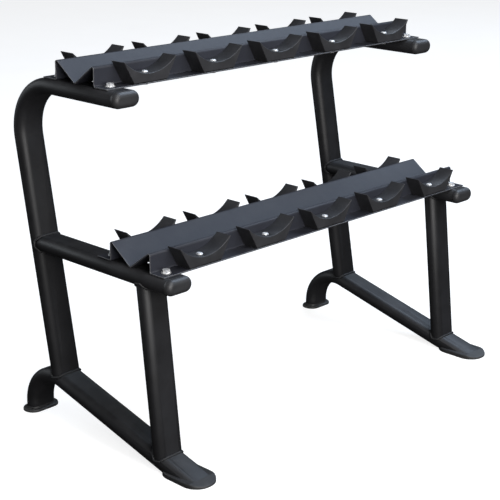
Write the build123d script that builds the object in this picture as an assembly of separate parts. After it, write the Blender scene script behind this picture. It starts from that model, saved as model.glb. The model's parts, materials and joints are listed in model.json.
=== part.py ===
from build123d import *
import math
import os

# Two-tier rack for five pairs of dumbbells: two welded side frames of flat-oval tube
# carry two folded steel trays, and each tray carries ten bolted saddles.
# X runs along the trays, -Y is the front, +Z is up, and the floor is z = 0.
# The origin is under the middle of the rack's bounding box. Sizes are in millimetres.

# Side frames
TUBE_WIDTH = 80.0
TUBE_THICKNESS = 40.0
TUBE_WALL = 3.0
FRAME_X = 564.0
COPE_DEPTH = 12.0

# The two horizontal arms that the trays rest on: their heights, and how far each reaches
# ahead of its tray's middle
LOWER_ARM_TOP = 499.0
UPPER_ARM_TOP = 912.0
LOWER_ARM_REACH = 147.0
UPPER_ARM_REACH = 160.0

# Uprights and posts both lean back as they rise
UPRIGHT_Y = 265.0
UPRIGHT_LEAN = 0.184
UPRIGHT_BEND_RADIUS = 124.0
POST_Y = -138.0
POST_LEAN = 0.118

# Base tubes slope down to the front and turn down to the floor at the rear
BASE_Y = -101.0
BASE_HEIGHT = 45.9
BASE_SLOPE = 0.258
BASE_BEND_RADIUS = 100.0
REAR_FOOT_Y = 312.5
TUBE_CUT_HEIGHT = 4.0
TUBE_FRONT_CUT_Y = -313.0

# Rubber feet
REAR_FOOT_WIDTH = 102.0
REAR_FOOT_LENGTH = 57.0
REAR_FOOT_LIP = 7.0
REAR_FOOT_HEIGHT = 12.0
REAR_FOOT_STUB = 11.0
FRONT_FOOT_WIDTH = 92.0
FRONT_FOOT_HEEL_Y = -196.0
FRONT_FOOT_TOE_Y = -341.0
FRONT_FOOT_HEIGHT = 12.0
FRONT_FOOT_CORNER = 44.0
FOOT_EDGE_ROUND = 3.5

# Plastic caps that close the fronts of the arms
CAP_LENGTH = 18.0
CAP_ROUND = 14.0
CAP_STUB = 18.0
CAP_CLEARANCE = 0.2
CAP_STUB_WALL = 2.5

# Trays: flange, wall, ridge, V-shaped valley, ridge, wall, flange. Each reaches past the
# middle of both side frames by its overhang.
TRAY_OVERHANG = 29.0
SHEET = 3.0
BEND_INSIDE = 3.0
TRAY_FLANGE = 47.5
TRAY_WALL_Y = 72.0
TRAY_RIDGE = 49.2
LOWER_TRAY_Y = -101.0

# Saddles: blocks with flared ends and a round cradle
SADDLES_PER_ROW = 5
SADDLE_PITCH = 228.0
SADDLE_TOP_WIDTH = 166.0
SADDLE_FOOT_WIDTH = 102.4
SADDLE_HEIGHT = 55.2
SADDLE_DEPTH = 46.8
CRADLE_DROP = 33.0
HORN_TIP = 2.5
HORN_TIP_ROUND = 0.8
SADDLE_BEVEL = 0.75
SADDLE_FOOT_BEVEL = 3.2
SPOT_FACE_DIAMETER = 20.0
SPOT_FACE_DEPTH = 0.6

# Fasteners. One line of bolts runs along the middle of each row of saddles, and the upper
# tray's rear line stays clear of the uprights' bends.
FLANGE_BOLT_Y = TRAY_WALL_Y + SADDLE_DEPTH / 2
BOLT_TO_BEND = 9.0
SADDLE_BOLT = 8.0
SADDLE_BOLT_HOLE = 9.0
SADDLE_BOLT_HEAD = 15.0
SADDLE_BOLT_HEAD_HEIGHT = 2.4
SADDLE_BOLT_HEAD_ROUND = 1.8
SADDLE_BOLT_SOCKET = 5.0
SADDLE_BOLT_SOCKET_DEPTH = 1.6
SADDLE_WASHER = 17.0
SADDLE_WASHER_THICKNESS = 1.2
CLINCH_NUT = 14.0
CLINCH_NUT_HEIGHT = 5.5
CLINCH_NUT_PILOT = 10.5
FRAME_BOLT = 10.0
FRAME_BOLT_HOLE = 11.0
FRAME_BOLT_FLATS = 17.0
FRAME_BOLT_HEAD = 6.4
FRAME_BOLT_LENGTH = 20.0
FRAME_WASHER = 24.0
FRAME_WASHER_THICKNESS = 2.0
WASHER_PLAY = 0.4
HEAD_CORNER_BEVEL = 0.06
RIVET_NUT = 13.0
RIVET_NUT_LENGTH = 20.0
RIVET_NUT_COLLAR = 17.0
RIVET_NUT_COLLAR_HEIGHT = 4.0

# A size well beyond the rack, for cutting, and where a cylinder sits about z = 0
FAR = 2000.0
STANDING = (Align.CENTER, Align.CENTER, Align.MIN)
HANGING = (Align.CENTER, Align.CENTER, Align.MAX)


# ---------------------------------------------------------------- side frame lines

def upright_y(z):
    """Y of the upright's centre line at height z."""
    return UPRIGHT_Y + UPRIGHT_LEAN * (z - LOWER_ARM_TOP)


def post_y(z):
    """Y of the front post's centre line at height z."""
    return POST_Y + POST_LEAN * (z - LOWER_ARM_TOP)


def base_z(y):
    """Height of the base tube's centre line at y."""
    return BASE_HEIGHT + BASE_SLOPE * (y - BASE_Y)


def base_crossing_z(line_y, lean):
    """Height where a leaning centre line, given by its y at LOWER_ARM_TOP, meets the base's."""
    y_at_floor = line_y - lean * LOWER_ARM_TOP
    return base_z(y_at_floor) / (1 - BASE_SLOPE * lean)


def arm_centre(arm_top):
    return arm_top - TUBE_THICKNESS / 2


def upper_tray_y():
    """Y of the upper tray's middle, which puts its rear bolts just ahead of the uprights' bends."""
    half_turn = (math.pi / 2 + math.atan(UPRIGHT_LEAN)) / 2
    corner_y = upright_y(arm_centre(UPPER_ARM_TOP))
    bend_y = corner_y - UPRIGHT_BEND_RADIUS * math.tan(half_turn)
    return bend_y - BOLT_TO_BEND - FLANGE_BOLT_Y


def lower_arm_front():
    return LOWER_TRAY_Y - LOWER_ARM_REACH


def upper_arm_front():
    return upper_tray_y() - UPPER_ARM_REACH


def oval_section(path, shrink=0.0):
    """The flat-oval section at a path's start, wide along X, smaller by shrink all round."""
    start = Plane(origin=path @ 0, x_dir=(1, 0, 0), z_dir=path % 0)
    return start * SlotOverall(TUBE_WIDTH - 2 * shrink, TUBE_THICKNESS - 2 * shrink)


def outer_of(path):
    return sweep(oval_section(path), path)


def tube_of(path):
    return outer_of(path) - sweep(oval_section(path, TUBE_WALL), path)


def points_yz(*pairs):
    return [(0, y, z) for y, z in pairs]


def upright_path():
    """From just inside the base tube up, over the bend and forward along the upper arm."""
    start_z = base_crossing_z(UPRIGHT_Y, UPRIGHT_LEAN) + TUBE_THICKNESS / 2 - COPE_DEPTH
    arm_z = arm_centre(UPPER_ARM_TOP)
    corners = points_yz(
        (upright_y(start_z), start_z),
        (upright_y(arm_z), arm_z),
        (upper_arm_front() + CAP_LENGTH, arm_z),
    )
    return FilletPolyline(*corners, radius=UPRIGHT_BEND_RADIUS)


def lower_arm_path():
    arm_z = arm_centre(LOWER_ARM_TOP)
    rear = upright_y(arm_z) - (TUBE_THICKNESS / 2 - COPE_DEPTH)
    return Polyline(*points_yz((lower_arm_front() + CAP_LENGTH, arm_z), (rear, arm_z)))


def post_path():
    reach = TUBE_THICKNESS / 2 - COPE_DEPTH
    bottom = base_crossing_z(POST_Y, POST_LEAN) + reach
    top = arm_centre(LOWER_ARM_TOP) - reach
    return Polyline(*points_yz((post_y(bottom), bottom), (post_y(top), top)))


def base_path():
    """From ahead of the toe up the slope, over the rear bend and straight down to the foot."""
    front = FRONT_FOOT_TOE_Y
    return FilletPolyline(
        *points_yz(
            (front, base_z(front)),
            (REAR_FOOT_Y, base_z(REAR_FOOT_Y)),
            (REAR_FOOT_Y, REAR_FOOT_HEIGHT),
        ),
        radius=BASE_BEND_RADIUS,
    )


def front_cut():
    """What is sawn off the base tube's front: all below the foot's floor, and the thin tip."""
    below = Box(FAR, FAR, FAR, align=(Align.CENTER, Align.MAX, Align.MAX))
    ahead = Box(FAR, FAR, FAR, align=(Align.CENTER, Align.MAX, Align.CENTER))
    return Pos(0, 0, TUBE_CUT_HEIGHT) * below + Pos(0, TUBE_FRONT_CUT_Y, 0) * ahead


# ---------------------------------------------------------------- side frame pieces

def rivet_nut_holes(arm_top, tray_y):
    hole = Cylinder(RIVET_NUT / 2, 3 * TUBE_WALL)
    return [Pos(0, tray_y + side * FLANGE_BOLT_Y, arm_top) * hole for side in (-1, 1)]


def build_tubes():
    """The four tubes of one side frame, each coped to the one that it is welded to."""
    base_outer = outer_of(base_path()) - front_cut()
    upright_outer = outer_of(upright_path())
    arm_outer = outer_of(lower_arm_path())
    upright = tube_of(upright_path()) - base_outer
    for hole in rivet_nut_holes(UPPER_ARM_TOP, upper_tray_y()):
        upright -= hole
    arm = tube_of(lower_arm_path()) - upright_outer
    for hole in rivet_nut_holes(LOWER_ARM_TOP, LOWER_TRAY_Y):
        arm -= hole
    post = tube_of(post_path()) - arm_outer - base_outer
    base = tube_of(base_path()) - front_cut()
    return {"upright": upright, "lower_arm": arm, "front_post": post, "base_tube": base}


def arm_cap(front_y, arm_top):
    """Rounded cap over the tube's end, with a hollow stub that plugs into the tube."""
    face = extrude(Plane.XZ * SlotOverall(TUBE_WIDTH, TUBE_THICKNESS), -CAP_LENGTH)
    face = fillet(face.faces().sort_by(Axis.Y)[0].edges(), CAP_ROUND)
    shrink = 2 * (TUBE_WALL + CAP_CLEARANCE)
    stub_face = SlotOverall(TUBE_WIDTH - shrink, TUBE_THICKNESS - shrink)
    shrink += 2 * CAP_STUB_WALL
    hollow = SlotOverall(TUBE_WIDTH - shrink, TUBE_THICKNESS - shrink)
    stub = Pos(0, CAP_LENGTH, 0) * extrude(Plane.XZ * (stub_face - hollow), -CAP_STUB)
    return Pos(0, front_y, arm_centre(arm_top)) * (face + stub)


def rear_foot():
    """Rubber foot with a flared lip, plugged into the base tube's rear end."""
    lip = extrude(SlotOverall(REAR_FOOT_WIDTH, REAR_FOOT_LENGTH), REAR_FOOT_LIP)
    lip = fillet(lip.edges().group_by(Axis.Z)[-1], FOOT_EDGE_ROUND)
    collar = extrude(SlotOverall(TUBE_WIDTH, TUBE_THICKNESS), REAR_FOOT_HEIGHT)
    inside = 2 * (TUBE_WALL + CAP_CLEARANCE)
    stub_face = SlotOverall(TUBE_WIDTH - inside, TUBE_THICKNESS - inside)
    stub = extrude(stub_face, REAR_FOOT_HEIGHT + REAR_FOOT_STUB)
    return Pos(0, REAR_FOOT_Y, 0) * (lip + collar + stub)


def above_base_tube():
    """The space over the plane of the base tube's flat top, carried on ahead of the tube."""
    slope = math.degrees(math.atan(BASE_SLOPE))
    space = Pos(0, 0, TUBE_THICKNESS / 2) * Box(FAR, FAR, FAR, align=STANDING)
    return Pos(0, BASE_Y, BASE_HEIGHT) * Rot(X=slope) * space


def front_foot(base_outer):
    """Rubber shoe under the sawn front of the base tube, which sits in its recess.

    Ahead of the tube its top carries on down the tube's slope to a thin toe. Its rim is rounded,
    but not the crease where the slope starts.
    """
    length = FRONT_FOOT_HEEL_Y - FRONT_FOOT_TOE_Y
    middle_y = (FRONT_FOOT_HEEL_Y + FRONT_FOOT_TOE_Y) / 2
    outline = RectangleRounded(FRONT_FOOT_WIDTH, length, FRONT_FOOT_CORNER)
    shoe = Pos(0, middle_y, 0) * extrude(outline, FRONT_FOOT_HEIGHT)
    shoe -= above_base_tube()
    crease = shoe.edges().filter_by(Axis.X).sort_by(SortBy.LENGTH)[-1]
    raised = [edge for edge in shoe.edges() if edge.bounding_box().min.Z > FOOT_EDGE_ROUND]
    shoe = fillet([edge for edge in raised if not edge.is_same(crease)], FOOT_EDGE_ROUND)
    return shoe - base_outer


def build_side_frame():
    """Every piece of one side frame, centred on x = 0."""
    pieces = build_tubes()
    pieces["upper_arm_cap"] = arm_cap(upper_arm_front(), UPPER_ARM_TOP)
    pieces["lower_arm_cap"] = arm_cap(lower_arm_front(), LOWER_ARM_TOP)
    pieces["rear_foot"] = rear_foot()
    pieces["front_foot"] = front_foot(outer_of(base_path()) - front_cut())
    return pieces


# ---------------------------------------------------------------- trays

def ridge_angle():
    """Slope of the valley's sides that puts the ridges at TRAY_RIDGE and the valley on the arm.

    The sheet's middle line turns with radius r about a centre under each ridge and a centre
    over the valley, and this solves run * sin(a) - rise * cos(a) = 2 * r for the slope a.
    """
    r = BEND_INSIDE + SHEET / 2
    outside = BEND_INSIDE + SHEET
    run = TRAY_WALL_Y - outside
    rise = TRAY_RIDGE - 2 * outside
    return math.atan2(rise, run) + math.asin(2 * r / math.hypot(run, rise))


def tray_middle_line():
    """Corners of the sheet's middle line across one tray, from the front flange to the rear."""
    r = BEND_INSIDE + SHEET / 2
    wall_y = TRAY_WALL_Y - SHEET / 2
    slope = ridge_angle()
    valley_z = BEND_INSIDE + SHEET - r / math.cos(slope)
    ridge_z = valley_z + wall_y * math.tan(slope)
    half = [(TRAY_WALL_Y + TRAY_FLANGE, SHEET / 2), (wall_y, SHEET / 2), (wall_y, ridge_z)]
    front = [(-y, z) for y, z in half]
    return front + [(0, valley_z)] + half[::-1]


def shifted_corners(corners, distance):
    """The same corners with each side of the line moved to its left by distance."""
    headings = []
    for (y0, z0), (y1, z1) in zip(corners, corners[1:]):
        headings.append(math.atan2(z1 - z0, y1 - y0))
    headings = [headings[0]] + headings + [headings[-1]]
    moved = []
    for (y, z), before, after in zip(corners, headings, headings[1:]):
        half_turn = (after - before) / 2
        normal = (before + after) / 2 + math.pi / 2
        reach = distance / math.cos(half_turn)
        moved.append((y + reach * math.cos(normal), z + reach * math.sin(normal)))
    return moved


def corner_radii(corners, on_left):
    """Bend radius at each inner corner: larger where the line turns away from that side."""
    radii = []
    for (y0, z0), (y1, z1), (y2, z2) in zip(corners, corners[1:], corners[2:]):
        left_turn = (y1 - y0) * (z2 - z1) - (z1 - z0) * (y2 - y1) > 0
        inside = left_turn == on_left
        radii.append(BEND_INSIDE if inside else BEND_INSIDE + SHEET)
    return radii


def tray(centre_y, arm_top):
    """One folded sheet resting on the arms, with holes for its saddles and its frame bolts."""
    corners = tray_middle_line()
    top = shifted_corners(corners, SHEET / 2)
    bottom = shifted_corners(corners, -SHEET / 2)
    top_line = FilletPolyline(*points_yz(*top), radius=corner_radii(corners, True))
    bottom_line = FilletPolyline(*points_yz(*bottom), radius=corner_radii(corners, False))
    ends = [Line(top_line @ t, bottom_line @ t) for t in (0, 1)]
    profile = make_face([*top_line.edges(), *bottom_line.edges(), *ends])
    sheet = extrude(profile, FRAME_X + TRAY_OVERHANG, dir=(1, 0, 0), both=True)
    for side in (-1, 1):
        for x in saddle_places():
            sheet -= Pos(x, side * FLANGE_BOLT_Y, 0) * Cylinder(CLINCH_NUT_PILOT / 2, 4 * SHEET)
        for x in (-FRAME_X, FRAME_X):
            sheet -= Pos(x, side * FLANGE_BOLT_Y, 0) * Cylinder(FRAME_BOLT_HOLE / 2, 4 * SHEET)
    return Pos(0, centre_y, arm_top) * sheet


# ---------------------------------------------------------------- saddles

def saddle_places():
    middle = (SADDLES_PER_ROW - 1) / 2
    return [(index - middle) * SADDLE_PITCH for index in range(SADDLES_PER_ROW)]


def saddle_block():
    """One saddle, standing on z = 0 with its bolt hole on the Z axis.

    Its foot is bevelled front and rear to clear the bend between the tray's flange and wall.
    Those two bevels own the lowest edge of each end face; the finer bevel takes all the others.
    """
    foot = SADDLE_FOOT_WIDTH / 2
    tip = SADDLE_TOP_WIDTH / 2
    rim = (tip - HORN_TIP, SADDLE_HEIGHT)
    cradle_bottom = SADDLE_HEIGHT - CRADLE_DROP
    left_side = Polyline((-rim[0], rim[1]), (-tip, SADDLE_HEIGHT), (-foot, 0), (foot, 0))
    right_side = Polyline((foot, 0), (tip, SADDLE_HEIGHT), rim)
    cradle = ThreePointArc(rim, (0, cradle_bottom), (-rim[0], rim[1]))
    outline = make_face([*left_side.edges(), *right_side.edges(), cradle])
    block = extrude(Plane.XZ * outline, SADDLE_DEPTH / 2, both=True)
    block = chamfer(block.edges().filter_by(Axis.X).group_by(Axis.Z)[0], SADDLE_FOOT_BEVEL)
    tip_edges = [edge for edge in block.edges().filter_by(Axis.Y) if edge.center().Z > cradle_bottom]
    block = fillet(tip_edges, HORN_TIP_ROUND)
    face_edges = block.faces().filter_by(Axis.Y).edges().sort_by(Axis.Z)
    block = chamfer(face_edges[2:], SADDLE_BEVEL)
    spot = Cylinder(SPOT_FACE_DIAMETER / 2, SADDLE_HEIGHT, align=STANDING)
    block -= Pos(0, 0, cradle_bottom - SPOT_FACE_DEPTH) * spot
    return block - Cylinder(SADDLE_BOLT_HOLE / 2, 3 * SADDLE_HEIGHT)


# ---------------------------------------------------------------- fasteners

def hexagon(flats, height):
    """A hexagon prism standing on z = 0, with its upper corners turned off."""
    prism = extrude(RegularPolygon(flats / 2, 6, major_radius=False), height)
    turned = Cylinder(flats / math.sqrt(3), height, align=STANDING)
    turned = chamfer(turned.edges().group_by(Axis.Z)[-1], flats * HEAD_CORNER_BEVEL)
    return prism & turned


def hex_bolt(diameter, flats, head, length):
    """Head on z = 0, shank pointing down."""
    return hexagon(flats, head) + Cylinder(diameter / 2, length, align=HANGING)


def round_bolt(length):
    """Low round head on z = 0 with a hexagon socket in it, shank pointing down."""
    head = Cylinder(SADDLE_BOLT_HEAD / 2, SADDLE_BOLT_HEAD_HEIGHT, align=STANDING)
    head = fillet(head.edges().group_by(Axis.Z)[-1], SADDLE_BOLT_HEAD_ROUND)
    socket = extrude(RegularPolygon(SADDLE_BOLT_SOCKET / 2, 6, major_radius=False), SADDLE_BOLT_HEAD_HEIGHT)
    head -= Pos(0, 0, SADDLE_BOLT_HEAD_HEIGHT - SADDLE_BOLT_SOCKET_DEPTH) * socket
    return head + Cylinder(SADDLE_BOLT / 2, length, align=HANGING)


def washer(outside, thickness, bolt):
    ring = Cylinder(outside / 2, thickness, align=STANDING)
    return ring - Cylinder(bolt / 2 + WASHER_PLAY, 3 * thickness)


def clinch_nut():
    """Low round nut under the flange, its pilot pressed flush through the sheet above z = 0."""
    body = Cylinder(CLINCH_NUT / 2, CLINCH_NUT_HEIGHT, align=HANGING)
    pilot = Cylinder(CLINCH_NUT_PILOT / 2, SHEET, align=STANDING)
    return body + pilot - Cylinder(SADDLE_BOLT / 2, 4 * CLINCH_NUT_HEIGHT)


def rivet_nut():
    """Threaded insert flush with the arm's top, its collar drawn up under the tube's wall."""
    body = Cylinder(RIVET_NUT / 2, RIVET_NUT_LENGTH, align=HANGING)
    collar = Cylinder(RIVET_NUT_COLLAR / 2, RIVET_NUT_COLLAR_HEIGHT, align=HANGING)
    return body + Pos(0, 0, -TUBE_WALL) * collar - Cylinder(FRAME_BOLT / 2, 3 * RIVET_NUT_LENGTH)


def copies(shape, places):
    """One node made of the same solid at many places."""
    return Compound(children=[Pos(*place) * shape for place in places])


def saddle_fasteners(tray_y, arm_top):
    """The bolts, washers and nuts of one tray's saddles, from the cradle down."""
    seat = arm_top + SHEET + SADDLE_HEIGHT - CRADLE_DROP - SPOT_FACE_DEPTH
    under_head = seat + SADDLE_WASHER_THICKNESS
    length = under_head - arm_top + CLINCH_NUT_HEIGHT
    bolt = round_bolt(length)
    ring = washer(SADDLE_WASHER, SADDLE_WASHER_THICKNESS, SADDLE_BOLT)
    spots = [(x, tray_y + side * FLANGE_BOLT_Y) for side in (-1, 1) for x in saddle_places()]
    return {
        "saddle_bolts": copies(bolt, [(x, y, under_head) for x, y in spots]),
        "saddle_washers": copies(ring, [(x, y, seat) for x, y in spots]),
        "clinch_nuts": copies(clinch_nut(), [(x, y, arm_top) for x, y in spots]),
    }


def frame_fasteners(tray_y, arm_top):
    """The bolts that hold one tray to the arms, with their washers and threaded inserts."""
    seat = arm_top + SHEET
    under_head = seat + FRAME_WASHER_THICKNESS
    bolt = hex_bolt(FRAME_BOLT, FRAME_BOLT_FLATS, FRAME_BOLT_HEAD, FRAME_BOLT_LENGTH)
    ring = washer(FRAME_WASHER, FRAME_WASHER_THICKNESS, FRAME_BOLT)
    spots = [(x, tray_y + side * FLANGE_BOLT_Y) for side in (-1, 1) for x in (-FRAME_X, FRAME_X)]
    return {
        "frame_bolts": copies(bolt, [(x, y, under_head) for x, y in spots]),
        "frame_washers": copies(ring, [(x, y, seat) for x, y in spots]),
        "rivet_nuts": copies(rivet_nut(), [(x, y, arm_top) for x, y in spots]),
    }


# ---------------------------------------------------------------- the whole rack

def build_tier(tier, tray_y, arm_top):
    """One tray with its saddles and fasteners."""
    pieces = {f"{tier}_tray": tray(tray_y, arm_top)}
    block = saddle_block()
    for row, side in (("front", -1), ("rear", 1)):
        row_y = tray_y + side * FLANGE_BOLT_Y
        for number, x in enumerate(saddle_places(), start=1):
            pieces[f"{tier}_{row}_saddle_{number}"] = Pos(x, row_y, arm_top + SHEET) * block
    fasteners = {**saddle_fasteners(tray_y, arm_top), **frame_fasteners(tray_y, arm_top)}
    for name, shape in fasteners.items():
        pieces[f"{tier}_{name}"] = shape
    return pieces


def build_rack():
    pieces = {}
    for name, shape in build_side_frame().items():
        for side, x in (("left", -FRAME_X), ("right", FRAME_X)):
            pieces[f"{side}_{name}"] = Pos(x, 0, 0) * shape
    pieces.update(build_tier("lower", LOWER_TRAY_Y, LOWER_ARM_TOP))
    pieces.update(build_tier("upper", upper_tray_y(), UPPER_ARM_TOP))
    return pieces


os.makedirs("parts", exist_ok=True)
for node, shape in build_rack().items():
    export_step(shape, f"parts/{node}.step")
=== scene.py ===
# %% [markdown]
# # A two-tier dumbbell rack
#
# The rack has two welded side frames of flat-oval steel tube, two folded steel trays bolted
# across them, and ten moulded saddles on each tray that hold the dumbbells by their ends.
# The shapes come from the design model, which is loaded below as a fixed frame and isn't
# changed here. This lesson gives that model its finishes, adds the weld beads that a welded
# frame has, and lights it as a studio would.
#
# Everything is in metres. X runs along the trays, -Y is the front, Z is up, and the floor is
# z = 0.

# %% Load the frame
import json
import math

import bmesh
import bpy
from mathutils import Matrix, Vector
from mathutils.bvhtree import BVHTree


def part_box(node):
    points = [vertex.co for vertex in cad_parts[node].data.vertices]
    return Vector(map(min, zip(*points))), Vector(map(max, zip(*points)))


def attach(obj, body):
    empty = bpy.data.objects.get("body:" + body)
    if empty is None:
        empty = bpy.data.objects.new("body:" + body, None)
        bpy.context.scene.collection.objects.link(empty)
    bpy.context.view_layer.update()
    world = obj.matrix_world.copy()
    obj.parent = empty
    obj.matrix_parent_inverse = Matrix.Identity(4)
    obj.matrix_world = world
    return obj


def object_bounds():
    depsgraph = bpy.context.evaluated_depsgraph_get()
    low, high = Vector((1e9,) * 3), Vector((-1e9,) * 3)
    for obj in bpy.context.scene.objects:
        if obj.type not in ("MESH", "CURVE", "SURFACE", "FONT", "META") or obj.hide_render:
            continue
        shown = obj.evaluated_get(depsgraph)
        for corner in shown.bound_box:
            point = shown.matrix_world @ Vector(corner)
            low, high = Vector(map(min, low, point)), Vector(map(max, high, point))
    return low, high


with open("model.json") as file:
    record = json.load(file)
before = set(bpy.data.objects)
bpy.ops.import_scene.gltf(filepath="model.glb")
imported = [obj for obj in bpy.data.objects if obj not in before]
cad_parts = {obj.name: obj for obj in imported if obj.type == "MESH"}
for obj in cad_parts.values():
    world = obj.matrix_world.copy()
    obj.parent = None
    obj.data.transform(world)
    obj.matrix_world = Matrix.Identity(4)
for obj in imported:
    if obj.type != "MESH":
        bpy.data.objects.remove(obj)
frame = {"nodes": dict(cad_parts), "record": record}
cad_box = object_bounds()
nodes = frame["nodes"]
low, high = (Vector(corner) for corner in cad_box)
MILLIMETRE = 0.001
print("rack size in metres:", [round(side, 3) for side in high - low])

# %% [markdown]
# ## Wiring a finish
#
# Every finish here is a small network of nodes. A finish could be painted by hand on an
# unwrapped mesh, but a network that reads the place of each point in space needs no
# unwrapping, runs on across neighbouring pieces at one scale, and stays sharp in a close look.
# This first helper makes the material and keeps its wiring short: a socket is fed in the same
# way from another node, a number or a colour.

# %% A helper that wires nodes
class Wiring:
    """A material with one Principled shader, and short calls that feed its sockets."""

    def __init__(self, name, **settings):
        self.material = bpy.data.materials.new(name)
        self.material.use_nodes = True
        self.tree = self.material.node_tree
        self.shader = self.tree.nodes["Principled BSDF"]
        for socket, value in settings.items():
            self.shader.inputs[socket.replace("_", " ")].default_value = value
        self.place = self.add("ShaderNodeTexCoord").outputs["Object"]

    def add(self, kind, **settings):
        node = self.tree.nodes.new(kind)
        for key, value in settings.items():
            setattr(node, key, value)
        return node

    def give(self, target, source):
        """Feeds a socket from another node's output, a number, a direction or a colour."""
        if isinstance(source, bpy.types.NodeSocket):
            self.tree.links.new(source, target)
        elif target.type == "RGBA":
            target.default_value = (*source, 1.0)
        else:
            target.default_value = source

    def feed(self, node, **sources):
        """Feeds each named socket of a node."""
        for socket, source in sources.items():
            self.give(node.inputs[socket.replace("_", " ")], source)

    def use(self, **sources):
        """Feeds the shader, and hands back the finished material."""
        self.feed(self.shader, **sources)
        return self.material


print("the wiring helper is ready")

# %% [markdown]
# ## Patterns for finishes
#
# Paint, plastic and rubber are all told apart by the marks on them: a swell, a grain, a scuff.
# Each mark could be wired afresh in every finish, but the same few patterns come back at other
# sizes, so they are made once here. `size` always means the width of the mark in metres,
# because a maker thinks of grain in millimetres and not in noise scales.

# %% A helper that makes patterns
class Finish(Wiring):
    """A material whose patterns lie fixed in space, so that they run on from piece to piece."""

    def stretched(self, factors):
        mapping = self.add("ShaderNodeMapping")
        self.feed(mapping, Vector=self.place, Scale=factors)
        return mapping.outputs["Vector"]

    def noise(self, size, detail=3.0, roughness=0.5, place=None):
        node = self.add("ShaderNodeTexNoise")
        place = place or self.place
        self.feed(node, Vector=place, Scale=1 / size, Detail=detail, Roughness=roughness)
        return node.outputs["Fac"]

    def cells(self, size):
        """Small rounded cells, 0 in the middle of each."""
        node = self.add("ShaderNodeTexVoronoi", feature="SMOOTH_F1")
        self.feed(node, Vector=self.place, Scale=1 / size)
        return node.outputs["Distance"]

    def spread(self, value, start, end, low_value=0.0, high_value=1.0):
        """Maps start..end of a value onto low_value..high_value, and holds it there outside."""
        node = self.add("ShaderNodeMapRange")
        self.feed(node, Value=value, From_Min=start, From_Max=end)
        self.feed(node, To_Min=low_value, To_Max=high_value)
        return node.outputs["Result"]

    def combine(self, operation, first, second):
        node = self.add("ShaderNodeMath", operation=operation)
        self.give(node.inputs[0], first)
        self.give(node.inputs[1], second)
        return node.outputs["Value"]

    def between(self, factor, dark, light):
        """A colour mixed from two. The Mix node's sockets for colours are its inputs 6 and 7."""
        node = self.add("ShaderNodeMix", data_type="RGBA")
        self.give(node.inputs[0], factor)
        self.give(node.inputs[6], dark)
        self.give(node.inputs[7], light)
        return node.outputs[2]

    def facing_up(self):
        """1 where the surface faces straight up, 0 where it is upright."""
        geometry = self.add("ShaderNodeNewGeometry")
        parts = self.add("ShaderNodeSeparateXYZ")
        self.give(parts.inputs[0], geometry.outputs["Normal"])
        return parts.outputs["Z"]

    def height(self):
        parts = self.add("ShaderNodeSeparateXYZ")
        self.give(parts.inputs[0], self.place)
        return parts.outputs["Z"]

    def relief(self, height, depth, strength=1.0, under=None):
        """Bump of the given depth in metres; under is a coarser bump that it lies on."""
        node = self.add("ShaderNodeBump")
        self.feed(node, Height=height, Distance=depth, Strength=strength)
        if under:
            self.give(node.inputs["Normal"], under)
        return node.outputs["Normal"]


print("the pattern helper is ready")

# %% [markdown]
# ## Powder coat on the frame
#
# The tubes are sprayed with black powder and baked. The powder melts into a skin that is never
# quite flat: it has a faint orange-peel swell a few millimetres across, with a finer grain on
# top. Paint like this has a satin sheen that changes a little from place to place, and up-facing
# surfaces hold a trace of dust. A glossy black with a single colour would look like plastic, so
# the swell, the grain and the dust each get a layer of their own.

# %% Frame powder coat
DUST_COLOUR = (0.16, 0.16, 0.165)
MOST_DUST = 0.12


def powder_coat(name, dark, light, sheen, dullness, peel_depth):
    """Baked powder: orange peel, fine grain, patchy sheen and a trace of dust on top."""
    coat = Finish(name, Specular_IOR_Level=sheen)
    swell = coat.noise(3.5 * MILLIMETRE, detail=2.0)
    grain = coat.noise(0.8 * MILLIMETRE, detail=4.0, roughness=0.65)
    patches = coat.noise(90 * MILLIMETRE, detail=5.0, roughness=0.6)
    level = coat.spread(coat.facing_up(), 0.55, 1.0)
    dust = coat.combine("MULTIPLY", level, coat.spread(patches, 0.4, 0.7))
    paint = coat.between(coat.spread(patches, 0.3, 0.7), dark, light)
    dusted = coat.between(coat.combine("MULTIPLY", dust, MOST_DUST), paint, DUST_COLOUR)
    patchy = coat.spread(patches, 0.25, 0.75, *dullness)
    grainy = coat.spread(grain, 0.3, 0.7, 0.0, 0.07)
    roughness = coat.combine("ADD", patchy, grainy)
    peel = coat.relief(swell, peel_depth)
    skin = coat.relief(grain, 0.05 * MILLIMETRE, 0.6, under=peel)
    return coat.use(Base_Color=dusted, Roughness=roughness, Normal=skin)


frame_coat = powder_coat(
    "frame powder coat",
    dark=(0.010, 0.010, 0.011),
    light=(0.016, 0.016, 0.018),
    sheen=0.42,
    dullness=(0.44, 0.52),
    peel_depth=0.05 * MILLIMETRE,
)
print("made", frame_coat.name)

# %% [markdown]
# ## Powder coat on the trays
#
# The trays are folded from sheet and coated in the same way, in a slightly lighter charcoal.
# Flat sheet takes the powder more evenly than tube, so the peel is shallower and the sheen is
# softer. The same recipe with other numbers keeps the two finishes related, as they are on a
# real rack. Powder draws back from a cut edge as it melts, so the edges of the sheet are thinner
# coated and shinier. Their colour here, several times paler than the tray's own charcoal, is a
# painted highlight for the light that the cut edges catch. They get a third setting of the
# recipe, which the rounding of the edges will use further on.

# %% Tray powder coat
tray_coat = powder_coat(
    "tray powder coat",
    dark=(0.023, 0.024, 0.031),
    light=(0.030, 0.032, 0.041),
    sheen=0.22,
    dullness=(0.42, 0.50),
    peel_depth=0.03 * MILLIMETRE,
)
# The pale colour of this edge finish is a painted highlight, the light that the cut edges catch
# put into their colour.
edge_highlight_coat = powder_coat(
    "painted edge highlight on cut edges",
    dark=(0.10, 0.10, 0.105),
    light=(0.15, 0.15, 0.155),
    sheen=0.6,
    dullness=(0.28, 0.34),
    peel_depth=0.02 * MILLIMETRE,
)
print("made", tray_coat.name, "and", edge_highlight_coat.name)

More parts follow.
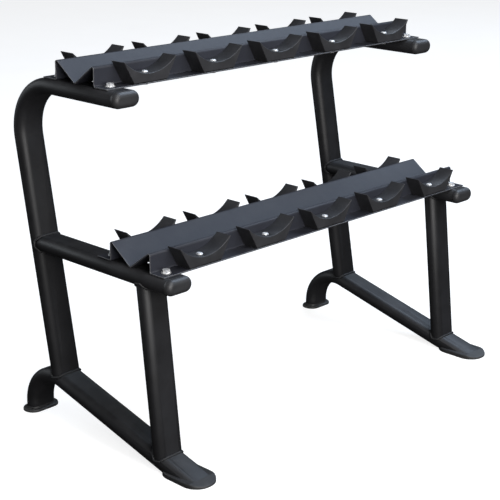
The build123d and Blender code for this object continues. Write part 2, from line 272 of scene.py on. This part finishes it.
# %% [markdown]
# ## Moulded plastic
#
# The saddles and the tube caps are moulded. The mould's spark-eroded wall leaves a fine pebbled
# grain, and the plastic scuffs a little lighter where iron rubs on it. Pebbles a millimetre wide
# are too fine to be modelled, so they are a pattern of small rounded cells. The scuffs are long
# thin noise, stretched from front to back, the way in which the dumbbells are lifted in and out.

# %% Saddle and cap plastic
SCUFF_COLOUR = (0.10, 0.10, 0.105)


def moulded_plastic(name, dark, light, pebble, sheen, scuffing):
    """Pebbled mould grain, slow changes of tone, and light scuffs along Y."""
    plastic = Finish(name, Specular_IOR_Level=sheen)
    pebbles = plastic.cells(pebble)
    tone = plastic.noise(40 * MILLIMETRE, detail=4.0)
    along_y = plastic.stretched((1.0, 0.12, 1.0))
    streaks = plastic.noise(2.5 * MILLIMETRE, place=along_y)
    in_places = plastic.spread(tone, 0.45, 0.65)
    scuffs = plastic.combine("MULTIPLY", plastic.spread(streaks, 0.60, 0.74), in_places)
    base = plastic.between(plastic.spread(tone, 0.3, 0.7), dark, light)
    scuffed = plastic.combine("MULTIPLY", scuffs, scuffing)
    colour = plastic.between(scuffed, base, SCUFF_COLOUR)
    pebbly = plastic.spread(pebbles, 0.1, 0.7, 0.42, 0.52)
    roughness = plastic.combine("ADD", pebbly, plastic.spread(scuffs, 0, 1, 0, 0.12))
    grain = plastic.relief(pebbles, 0.06 * MILLIMETRE, 0.7)
    return plastic.use(Base_Color=colour, Roughness=roughness, Normal=grain)


saddle_plastic = moulded_plastic(
    "saddle plastic",
    dark=(0.023, 0.023, 0.025),
    light=(0.034, 0.034, 0.037),
    pebble=1.1 * MILLIMETRE,
    sheen=0.5,
    scuffing=0.35,
)
cap_plastic = moulded_plastic(
    "cap plastic",
    dark=(0.024, 0.024, 0.026),
    light=(0.034, 0.034, 0.036),
    pebble=0.9 * MILLIMETRE,
    sheen=0.5,
    scuffing=0.10,
)
print("made", saddle_plastic.name, "and", cap_plastic.name)

# %% [markdown]
# ## Rubber feet
#
# The feet are moulded rubber. Rubber is duller than plastic, greys with dust where it meets the
# floor, and its grain is coarser. The dust could be a second material on the lowest faces, but
# that would end in a hard line. Its layer reads the height above the floor instead, and fades
# out over the lowest few millimetres.

# %% Foot rubber
DUSTY_HEIGHT = 9 * MILLIMETRE
FLOOR_DUST = (0.11, 0.105, 0.10)
MOST_FLOOR_DUST = 0.25


def moulded_rubber():
    rubber = Finish("foot rubber", Specular_IOR_Level=0.5)
    grain = rubber.noise(1.4 * MILLIMETRE, detail=5.0, roughness=0.7)
    clouds = rubber.noise(25 * MILLIMETRE, detail=4.0)
    near_floor = rubber.spread(rubber.height(), 0.0, DUSTY_HEIGHT, 1.0, 0.0)
    dust = rubber.combine("MULTIPLY", near_floor, rubber.spread(clouds, 0.35, 0.7))
    shade = rubber.spread(clouds, 0.3, 0.7)
    base = rubber.between(shade, (0.021, 0.021, 0.022), (0.032, 0.032, 0.033))
    thin_dust = rubber.combine("MULTIPLY", dust, MOST_FLOOR_DUST)
    dusted = rubber.between(thin_dust, base, FLOOR_DUST)
    roughness = rubber.spread(grain, 0.3, 0.7, 0.50, 0.66)
    skin = rubber.relief(grain, 0.12 * MILLIMETRE, 0.7)
    return rubber.use(Base_Color=dusted, Roughness=roughness, Normal=skin)


foot_rubber = moulded_rubber()
print("made", foot_rubber.name)

# %% [markdown]
# ## Zinc-plated fasteners
#
# Bolts and washers are steel with bright zinc. The plating is silvery, with faint cloudy patches
# of blue and straw, and fine scratches. A fully metallic head would only mirror the dark
# surroundings and go black, so the finish is part metal and part plain, as fine-grained plating
# scatters some of its light.

# %% Zinc plate
BLUISH_ZINC = (0.82, 0.84, 0.88)
STRAW_ZINC = (0.92, 0.91, 0.88)


def zinc_plating():
    zinc = Finish("zinc plate", Metallic=0.6)
    clouds = zinc.noise(6 * MILLIMETRE, detail=4.0, roughness=0.6)
    scratches = zinc.noise(0.7 * MILLIMETRE, place=zinc.stretched((1.0, 0.15, 1.0)))
    tint = zinc.spread(clouds, 0.35, 0.65)
    colour = zinc.between(tint, BLUISH_ZINC, STRAW_ZINC)
    cloudy = zinc.spread(clouds, 0.3, 0.7, 0.34, 0.46)
    roughness = zinc.combine("ADD", cloudy, zinc.spread(scratches, 0.4, 0.7, 0.0, 0.08))
    scratched = zinc.relief(scratches, 0.02 * MILLIMETRE, 0.6)
    return zinc.use(Base_Color=colour, Roughness=roughness, Normal=scratched)


zinc_plate = zinc_plating()
print("made", zinc_plate.name)

# %% [markdown]
# ## Putting the finishes on the pieces
#
# Each of the fifty pieces could be given its finish by hand. But the record already says which
# finish each piece takes, by the name of its slot, so one table from slot to finish covers the
# whole rack, and a piece added to the design later finds its own.

# %% Dress every piece
FINISHES = {
    "frame_paint": frame_coat,
    "tray_paint": tray_coat,
    "saddle_plastic": saddle_plastic,
    "cap_plastic": cap_plastic,
    "foot_rubber": foot_rubber,
    "zinc_steel": zinc_plate,
}
slots = {subpart["node"]: subpart["material_slot"] for subpart in frame["record"]["subparts"]}
for name, slot in slots.items():
    mesh = nodes[name].data
    mesh.materials.clear()
    mesh.materials.append(FINISHES[slot])
print("dressed", len(slots), "pieces")

# %% [markdown]
# ## Softened edges
#
# No real edge is perfectly sharp: cut sheet is tumbled or filed, plastic is moulded with a small
# radius, and paint flows round both. A crisp digital edge never catches the light, and that is
# what makes a model look like a drawing. The radius could be modelled on each piece, but a bevel
# modifier rounds every edge that turns by more than a set angle and leaves the design's own mesh
# as it was. The loaded mesh is split along its creases, so a weld modifier joins it first. On the
# trays the rounded strip takes the pale edge finish, whose colour is a painted highlight.

# %% Round the edges
SHARP_TURN = math.radians(35)
USUAL_ROUND = 0.5 * MILLIMETRE
SPECIAL_ROUNDS = {"tray_paint": 0.9 * MILLIMETRE, "zinc_steel": 0.3 * MILLIMETRE}


def soften_edges(piece, radius):
    join = piece.modifiers.new("joined creases", "WELD")
    join.merge_threshold = 0.01 * MILLIMETRE
    bevel = piece.modifiers.new("rounded edges", "BEVEL")
    bevel.width = radius
    bevel.segments = 2
    bevel.limit_method = "ANGLE"
    bevel.angle_limit = SHARP_TURN
    bevel.harden_normals = True
    return bevel


for name, slot in slots.items():
    bevel = soften_edges(nodes[name], SPECIAL_ROUNDS.get(slot, USUAL_ROUND))
    # On the trays the rounded strip takes the pale edge finish, a painted highlight along the cut
    # edges.
    if slot == "tray_paint":
        nodes[name].data.materials.append(edge_highlight_coat)
        bevel.material = 1
print("rounded the edges of", len(slots), "pieces")

# %% [markdown]
# ## The tube's section
#
# The welds follow the outline of the tubes, which is a flat oval: two straight runs joined by
# two half circles. Its size could be typed in, but then it would be wrong as soon as the design
# changed, so it is read from the lower arm, which lies level and square to the sides.

# %% Measure the oval
arm_low, arm_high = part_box("left_lower_arm")
ROUND = (arm_high.z - arm_low.z) / 2
FLAT = (arm_high.x - arm_low.x) - 2 * ROUND
HALF_CIRCLE = math.pi * ROUND
OVAL_LENGTH = 2 * (FLAT + HALF_CIRCLE)


def oval_point(distance):
    """Place (across, through) and outward direction at a distance along the oval's edge."""
    for index, run in enumerate((FLAT, HALF_CIRCLE, FLAT, HALF_CIRCLE)):
        if distance <= run:
            break
        distance -= run
    side = 1 if index < 2 else -1
    if index in (0, 2):
        return (side * (distance - FLAT / 2), side * ROUND), (0, side)
    angle = distance / ROUND
    out = (side * math.sin(angle), side * math.cos(angle))
    return (side * FLAT / 2 + ROUND * out[0], ROUND * out[1]), out


print("the edge of the oval is", round(OVAL_LENGTH / MILLIMETRE), "mm round")

# %% [markdown]
# ## Finding the seams
#
# Each tube end is cut to fit round the tube that it is welded to, and the weld follows that seam.
# The seam could be a list of points, but here a ring of straight lines is sent along the tube's
# own walls until each meets the other tube, which is where a welder's torch would run. A leaning
# tube's direction is found in the same way, by touching its front face at two heights.

# %% Feel along the tubes
BACKWARD = Vector((0, 1, 0))
WELL_AHEAD = low.y - 1.0


def surface_of(node):
    mesh = nodes[node].data
    corners = [vertex.co for vertex in mesh.vertices]
    return BVHTree.FromPolygons(corners, [list(face.vertices) for face in mesh.polygons])


def front_face(node, x, z):
    """The point of a tube's front face at x and z."""
    return surface_of(node).ray_cast(Vector((x, WELL_AHEAD, z)), BACKWARD)[0]


def rise_of(node, x, z_low, z_high):
    """Direction in which an upright tube rises."""
    return (front_face(node, x, z_high) - front_face(node, x, z_low)).normalized()


def on_centre_line(node, rise, x, z):
    return front_face(node, x, z) + Vector((0, rise.z, -rise.y)) * ROUND


def seam(tube, other, inside, axis, spacing):
    """Points of the seam where a tube that points along axis meets another tube.

    inside is a point on the tube's centre line. Each seam point comes with the outward
    directions of both walls. A wall that passes beside the other tube stops at its own end.
    """
    surface = surface_of(other)
    across = Vector((1, 0, 0))
    through = axis.cross(across)
    tube_end = max((vertex.co - inside).dot(axis) for vertex in nodes[tube].data.vertices)
    count = round(OVAL_LENGTH / spacing)
    points = []
    for step in range(count):
        (u, v), (out_u, out_v) = oval_point(OVAL_LENGTH * step / count)
        start = inside + across * u + through * v
        outward = across * out_u + through * out_v
        place, facing, _, reach = surface.ray_cast(start, axis)
        if place is None or reach > tube_end:
            place = start + axis * tube_end
            facing = outward
        points.append((place, facing, outward))
    return points


print("a seam will have", round(OVAL_LENGTH / MILLIMETRE), "points at 1 mm spacing")

# %% [markdown]
# ## One weld bead
#
# A bead laid by hand is a row of small overlapping puddles, each a few millimetres long. Painted
# over, the puddles still show as ripples that catch the light. The bead could be a plain round
# tube along the seam, but that looks like a cord stuck on, so its thickness swells once for each
# puddle and drifts slowly as a hand does. It sits in the corner between the two walls, part sunk
# into both.

# %% Shape a bead
BEAD_RADIUS = 3.0 * MILLIMETRE
PUDDLE_LENGTH = 3.4 * MILLIMETRE
BEAD_STEP = 0.68 * MILLIMETRE
BEAD_SIDES = 12
STAND_OUT = 0.25 * BEAD_RADIUS
PUDDLE_SWELL = 0.09
# Each slow drift of the hand: its waves in one turn round the seam, its start and its strength.
HAND_DRIFTS = ((5, 1.3, 0.05), (11, 0.0, 0.03))
PUDDLE_LAG = 0.25 * BEAD_RADIUS
LAG_ANGLE = math.pi / 4
FULL_TURN = 2 * math.pi


def bead_radius(share, puddles):
    """Radius at a share of the way round: a swell for each puddle, on two slow drifts."""
    swell = PUDDLE_SWELL * math.cos(FULL_TURN * puddles * share)
    for waves, start, strength in HAND_DRIFTS:
        swell += strength * math.sin(FULL_TURN * waves * share + start)
    return BEAD_RADIUS * (1 + swell)


def bead_ring(mesh, centre, tangent, outward, radius):
    """One ring of the bead, leaning forward as a puddle's edge does."""
    side = outward.cross(tangent).normalized()
    up = tangent.cross(side)
    ring = []
    for corner in range(BEAD_SIDES):
        angle = FULL_TURN * corner / BEAD_SIDES
        lag = tangent * (PUDDLE_LAG * math.cos(angle - LAG_ANGLE))
        spoke = side * math.cos(angle) + up * math.sin(angle)
        ring.append(mesh.verts.new(centre + radius * spoke + lag))
    return ring


def bead(name, points):
    """A closed rippled bead along a seam, as a mesh."""
    count = len(points)
    puddles = round(count * BEAD_STEP / PUDDLE_LENGTH)
    centres = [place + (facing + outward) * STAND_OUT for place, facing, outward in points]
    mesh = bmesh.new()
    rings = []
    for index, (centre, (_, _, outward)) in enumerate(zip(centres, points)):
        tangent = (centres[(index + 1) % count] - centres[index - 1]).normalized()
        radius = bead_radius(index / count, puddles)
        rings.append(bead_ring(mesh, centre, tangent, outward, radius))
    for ring, following in zip(rings, rings[1:] + rings[:1]):
        for corner in range(BEAD_SIDES):
            after = (corner + 1) % BEAD_SIDES
            corners = (ring[corner], ring[after], following[after], following[corner])
            mesh.faces.new(corners).smooth = True
    bmesh.ops.recalc_face_normals(mesh, faces=mesh.faces)
    data = bpy.data.meshes.new(name)
    mesh.to_mesh(data)
    mesh.free()
    data.materials.append(frame_coat)
    piece = bpy.data.objects.new(name, data)
    bpy.context.scene.collection.objects.link(piece)
    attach(piece, "root")
    return piece


print("a bead has a puddle every", round(PUDDLE_LENGTH / MILLIMETRE, 1), "mm")

# %% [markdown]
# ## Welding the side frames
#
# Each side frame has four seams: the post to the base tube and to the lower arm, and the lower
# arm and the base tube to the upright. One frame's beads could be mirrored to make the other's.
# Finding both from their own tubes takes no more code, and stays right if the design ever makes
# the two frames differ.

# %% Lay the beads
def weld_side_frame(side):
    post, upright = f"{side}_front_post", f"{side}_upright"
    arm_low, arm_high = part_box(f"{side}_lower_arm")
    post_low, post_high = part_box(post)
    upright_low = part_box(upright)[0]
    arm_middle = (arm_low + arm_high) / 2
    x = arm_middle.x
    quarter = (post_high.z - post_low.z) / 4
    post_rise = rise_of(post, x, post_low.z + quarter, post_high.z - quarter)
    upright_rise = rise_of(upright, x, upright_low.z + quarter, arm_low.z - quarter / 2)
    post_middle = on_centre_line(post, post_rise, x, (post_low.z + post_high.z) / 2)
    upright_middle = on_centre_line(upright, upright_rise, x, (upright_low.z + arm_low.z) / 2)
    seams = {
        "post_foot": ("front_post", "base_tube", post_middle, -post_rise),
        "post_head": ("front_post", "lower_arm", post_middle, post_rise),
        "arm_root": ("lower_arm", "upright", arm_middle, BACKWARD),
        "upright_foot": ("upright", "base_tube", upright_middle, -upright_rise),
    }
    beads = []
    for name, (tube, other, inside, axis) in seams.items():
        points = seam(f"{side}_{tube}", f"{side}_{other}", inside, axis, BEAD_STEP)
        beads.append(bead(f"{side}_{name}_weld", points))
    return beads


for side in ("left", "right"):
    print("welded", [piece.name for piece in weld_side_frame(side)])

# %% [markdown]
# ## Floor
#
# A studio floor is a sweep of matt white paper. A faint mottle keeps it from looking like a
# cut-out, and it glows a little so that it stays pale although the lights are kept low. A white
# floor would also fill the black rack with grey reflections. A studio hangs black cloth to stop
# that, and here the floor is simply left out of what the rack reflects.

# %% Studio floor
FLOOR_REACH = 30.0
FLOOR_GLOW = 0.80
MOTTLE_WIDTH = 0.35
PAPER_GREYS = ((0.42, 0.42, 0.42), (0.46, 0.46, 0.46))


def studio_floor():
    paper = Finish("studio paper", Specular_IOR_Level=0.1, Roughness=0.9)
    mottle = paper.spread(paper.noise(MOTTLE_WIDTH, detail=4.0), 0.3, 0.7)
    colour = paper.between(mottle, *PAPER_GREYS)
    paper.feed(paper.shader, Emission_Color=(1, 1, 1), Emission_Strength=FLOOR_GLOW)
    mesh = bmesh.new()
    bmesh.ops.create_grid(mesh, x_segments=8, y_segments=8, size=FLOOR_REACH)
    data = bpy.data.meshes.new("studio_floor")
    mesh.to_mesh(data)
    mesh.free()
    data.materials.append(paper.use(Base_Color=colour))
    floor = bpy.data.objects.new("studio_floor", data)
    floor.visible_glossy = False
    floor.visible_diffuse = False
    bpy.context.scene.collection.objects.link(floor)


studio_floor()
print("laid a floor", 2 * FLOOR_REACH, "m wide")

# %% [markdown]
# ## Light
#
# A black rack is drawn by the few soft lights that it reflects. The top light stands far to the
# right, where the trays' slopes mirror it, and gives them a cool sheen. The front light rounds
# the tubes and the saddles, the fill light opens the shadows on the flanges, and the back and
# rim lights draw the far edges. An even white sky would be simpler, but it lights every side
# alike and turns black paint grey.

# %% Studio lights
SKY_LIGHT = 0.03
middle = (low + high) / 2


def soft_light(name, place, size, power, colour):
    """A rectangular soft light, turned to face the middle of the rack. Power is in watts."""
    data = bpy.data.lights.new(name, "AREA")
    data.shape = "RECTANGLE"
    data.size, data.size_y = size
    data.energy = power
    data.color = colour
    light = bpy.data.objects.new(name, data)
    light.location = place
    light.rotation_euler = (middle - Vector(place)).to_track_quat("-Z", "Y").to_euler()
    bpy.context.scene.collection.objects.link(light)


def studio_world():
    """White to look at, but only a dim grey to be lit by, as with black cloth hung round."""
    world = bpy.data.worlds.new("studio")
    world.use_nodes = True
    bpy.context.scene.world = world
    tree = world.node_tree
    background = tree.nodes["Background"]
    path = tree.nodes.new("ShaderNodeLightPath")
    shade = tree.nodes.new("ShaderNodeMapRange")
    shade.inputs["To Min"].default_value = SKY_LIGHT
    shade.inputs["To Max"].default_value = 1.0
    tree.links.new(path.outputs["Is Camera Ray"], shade.inputs["Value"])
    tree.links.new(shade.outputs["Result"], background.inputs["Strength"])
    background.inputs["Color"].default_value = (1, 1, 1, 1)


soft_light("top light", (5.0, -0.7, 6.6), (4.6, 4.6), 450, (0.66, 0.80, 1.0))
soft_light("back light", (-1.9, 3.2, 1.7), (2.4, 1.8), 30, (0.88, 0.94, 1.0))
soft_light("rim light", (2.8, 1.5, 3.4), (0.9, 0.9), 10, (0.85, 0.92, 1.0))
soft_light("front light", (-1.7, -4.0, 1.6), (3.0, 2.2), 180, (1.0, 0.99, 0.98))
soft_light("fill light", (-0.6, -3.0, 4.4), (2.4, 2.4), 120, (0.95, 0.97, 1.0))
studio_world()
bpy.context.scene.view_settings.view_transform = "Standard"
print("lights:", [light.name for light in bpy.data.lights])

# %% [markdown]
# ## Camera
#
# A short lens close by would splay the rack's long edges. A long lens from a few metres away
# keeps them nearly parallel, as in a catalogue. The camera stands to the front left, half a
# metre above the upper tray. It could be aimed by a constraint at a target, but its place, the
# direction it looks in and a very slight tilt are all it needs.

# %% Camera
CAMERA_PLACE = Vector((-2.5058, -2.3291, 1.4801))
TURN = math.radians(-46.194)
PITCH = math.radians(17.744)
TILT = math.radians(0.408)
LENS = 93.905
SENSOR_WIDTH = 36


def studio_camera():
    data = bpy.data.cameras.new("camera")
    data.sensor_width = SENSOR_WIDTH
    data.lens = LENS
    camera = bpy.data.objects.new("camera", data)
    bpy.context.scene.collection.objects.link(camera)
    camera.location = CAMERA_PLACE
    level = Vector((math.sin(TURN), -math.cos(TURN), 0))
    behind = level * math.cos(PITCH) + Vector((0, 0, math.sin(PITCH)))
    camera.rotation_euler = behind.to_track_quat("Z", "Y").to_euler()
    camera.rotation_euler.rotate_axis("Z", TILT)
    bpy.context.scene.camera = camera


studio_camera()
print("camera is", round((CAMERA_PLACE - middle).length, 2), "m from the rack's middle")
